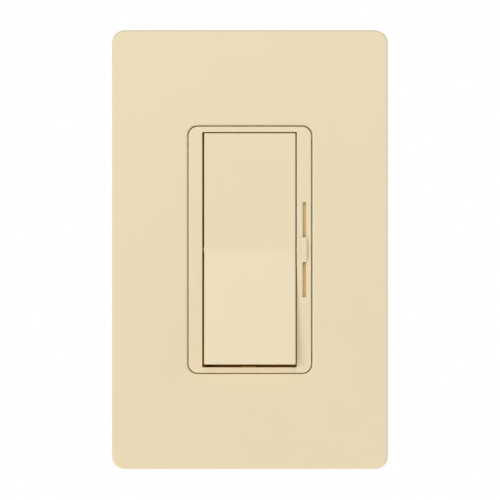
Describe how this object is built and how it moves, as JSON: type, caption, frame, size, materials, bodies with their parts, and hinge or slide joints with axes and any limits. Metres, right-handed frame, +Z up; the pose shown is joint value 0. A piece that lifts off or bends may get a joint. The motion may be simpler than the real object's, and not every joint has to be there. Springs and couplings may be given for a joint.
{
  "type": "dimmer slide switch",
  "caption": "Flush wall dimmer in ivory with a screwless plate, a large rocker paddle for on and off, and a slim slide knob beside it for the light level.",
  "frame": {"origin": "middle of the device on the wall plane, which is where the strap's ears and the wall plate's rim rest", "axes": "+X to the right as a person facing the wall sees it, +Y into the wall, +Z up"},
  "size_m": [0.0748, 0.0422, 0.119],
  "materials": {
    "ivory_gloss": "smooth moulded ivory, semi-gloss",
    "ivory_satin": "moulded ivory, satin",
    "strap_aluminium": "stamped sheet, lightly brushed",
    "screw_zinc": "bright zinc plate",
    "screw_ivory": "painted ivory",
    "fibre": "pressed fibre",
    "housing_black": "black moulded thermoset, fine spark texture",
    "grey_plastic": "moulded, satin",
    "board_green": "glass-epoxy board with solder mask",
    "brass": "rolled sheet",
    "contact_silver": "silver contact face",
    "copper_wire": "enamelled copper wire",
    "steel": "tinned steel",
    "ferrite": "coated powder core",
    "carbon_track": "printed carbon on laminate",
    "yellow_epoxy": "dipped film capacitor",
    "blue_epoxy": "dipped disc capacitor",
    "resistor_tan": "lacquered body",
    "diac_glass": "tinted glass",
    "plunger_green": "moulded acetal"
  },
  "bodies": {
    "device": {"wallplate_cover": "ivory_gloss", "wallplate_adapter": "ivory_satin", "adapter_screw_top": "screw_ivory", "adapter_screw_bottom": "screw_ivory", "mounting_screw_top": "screw_zinc", "mounting_screw_bottom": "screw_zinc", "screw_retainer_top": "fibre", "screw_retainer_bottom": "fibre", "yoke_plate": "strap_aluminium", "bezel": "ivory_gloss", "back_housing": "housing_black", "housing_screw_1": "screw_zinc", "housing_screw_2": "screw_zinc", "housing_screw_3": "screw_zinc", "housing_screw_4": "screw_zinc", "circuit_board": "board_green", "lead_eyelet_line": "brass", "lead_eyelet_load": "brass", "triac_insulator_pad": "grey_plastic", "triac_tab": "steel", "triac_package": "housing_black", "triac_screw": "screw_zinc", "choke_core": "ferrite", "choke_winding": "copper_wire", "film_capacitor_main": "yellow_epoxy", "film_capacitor_timing": "yellow_epoxy", "disc_capacitor": "blue_epoxy", "diac": "diac_glass", "resistor_1": "resistor_tan", "resistor_2": "resistor_tan", "ground_lug": "brass", "ground_rivet": "steel", "potentiometer_housing": "grey_plastic", "resistive_track": "carbon_track", "switch_frame": "housing_black", "bridge_saddle": "brass", "fixed_contact_strip": "brass", "fixed_contact_rivet": "contact_silver"},
    "rocker": {"rocker_paddle": "ivory_gloss", "plunger_spring": "steel"},
    "plunger": {"contact_plunger": "plunger_green"},
    "bridge": {"contact_bridge": "brass", "moving_contact": "contact_silver"},
    "slider": {"slider_knob": "ivory_gloss", "slider_carriage": "ivory_satin", "wiper_lever": "housing_black", "wiper_contact": "brass"}
  },
  "joints": [
    {"name": "rocker_tilt", "type": "hinge", "parent": "device", "child": "rocker", "pos_m": [-0.0001, -0.0046, 0], "axis": [1, 0, 0], "range_deg": [0, 4.8]},
    {"name": "plunger_slide", "type": "slide", "parent": "rocker", "child": "plunger", "axis": [0, -0.9991, 0.0419], "range_m": [0, 0.001], "stiffness_N_per_m": 300, "deforming": ["plunger_spring"]},
    {"name": "contact_bridge_tilt", "type": "hinge", "parent": "device", "child": "bridge", "pos_m": [0, 0.009, 0], "axis": [1, 0, 0], "range_deg": [-7.2, 0]},
    {"name": "slider_slide", "type": "slide", "parent": "device", "child": "slider", "axis": [0, 0, 1], "range_m": [-0.0094, 0.0094]}
  ],
  "couplings": [
    {"joint": "contact_bridge_tilt", "follows": "rocker_tilt", "ratio": -1.5}
  ]
}
